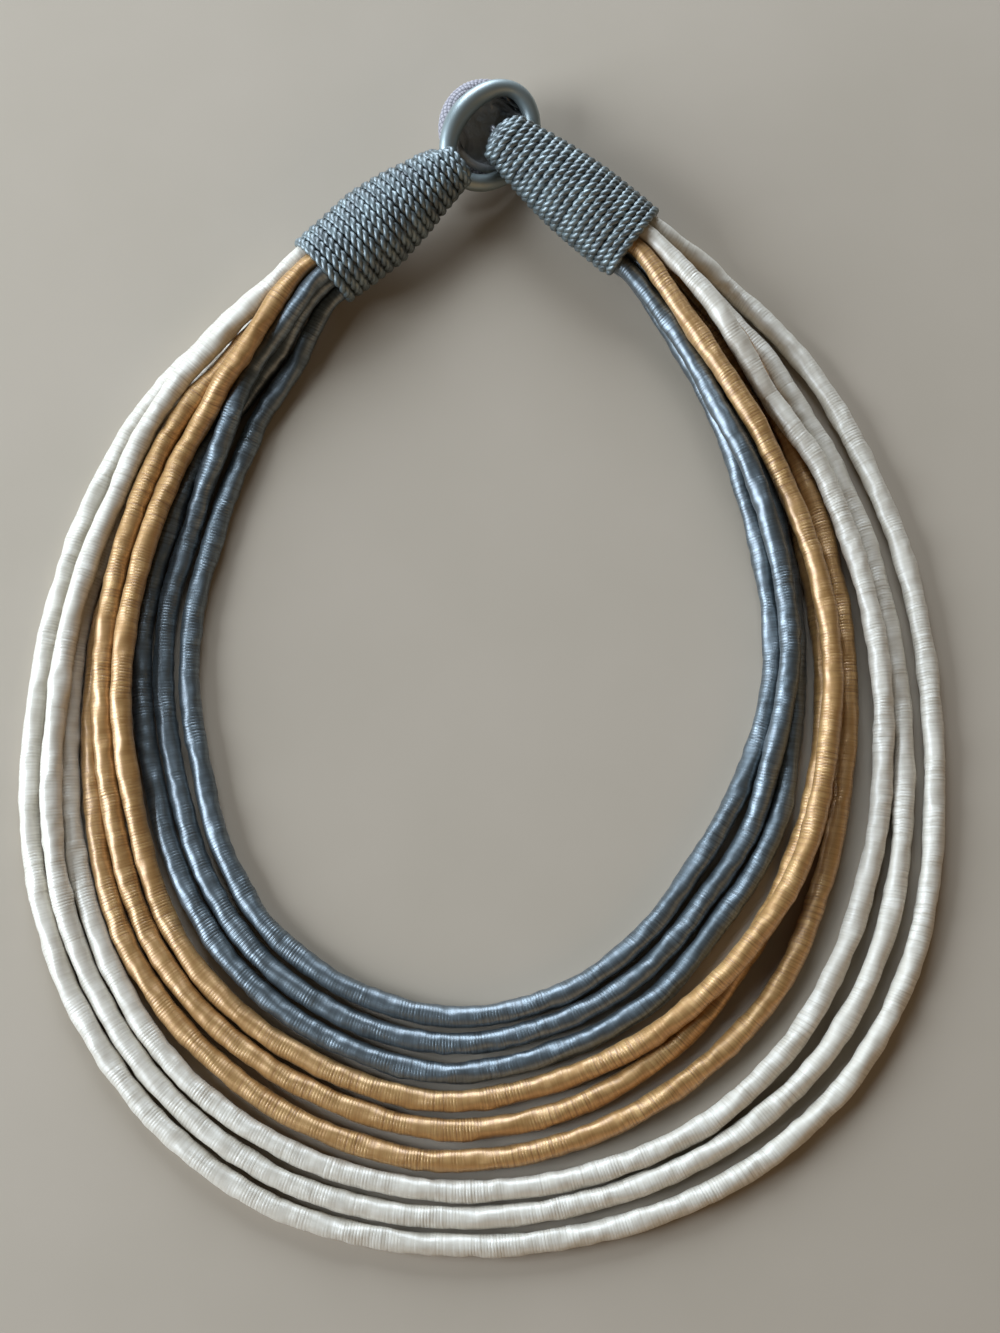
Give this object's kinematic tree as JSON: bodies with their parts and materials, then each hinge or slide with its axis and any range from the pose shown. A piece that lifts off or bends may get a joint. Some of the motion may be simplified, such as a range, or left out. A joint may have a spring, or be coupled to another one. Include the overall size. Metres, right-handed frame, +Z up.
{
  "type": "multi-strand thread-wound necklace",
  "caption": "Necklace of round thread-wound cords in slate blue, bronze and ivory, bound at both ends with twisted cord and closed by a loop over a domed button.",
  "frame": {"origin": "on the surface that the necklace lies on, under the middle of its bounding box", "axes": "+Z up from that surface, +Y from the middle towards the clasp, +X to the right seen from above"},
  "size_m": [0.182, 0.2364, 0.0172],
  "materials": {
    "thread_blue": "satin thread, closely wound",
    "thread_bronze": "satin thread, closely wound",
    "thread_ivory": "satin thread, closely wound",
    "cord_grey": "twisted satin cord, closely wound",
    "loop_grey": "smooth, polished",
    "button_weave": "plain woven satin cord",
    "button_shell": "gloss",
    "tie_dark": "plain cord"
  },
  "bodies": {
    "root": {"strand_blue_inner": "thread_blue", "strand_blue_middle": "thread_blue", "strand_blue_outer": "thread_blue", "strand_bronze_inner": "thread_bronze", "strand_bronze_middle": "thread_bronze", "strand_bronze_outer": "thread_bronze", "strand_ivory_inner": "thread_ivory", "strand_ivory_middle": "thread_ivory", "strand_ivory_outer": "thread_ivory", "binding_left": "cord_grey", "binding_right": "cord_grey", "closure_loop": "loop_grey", "button_dome": "button_weave", "button_back": "button_shell", "button_tie": "tie_dark"}
  },
  "joints": []
}
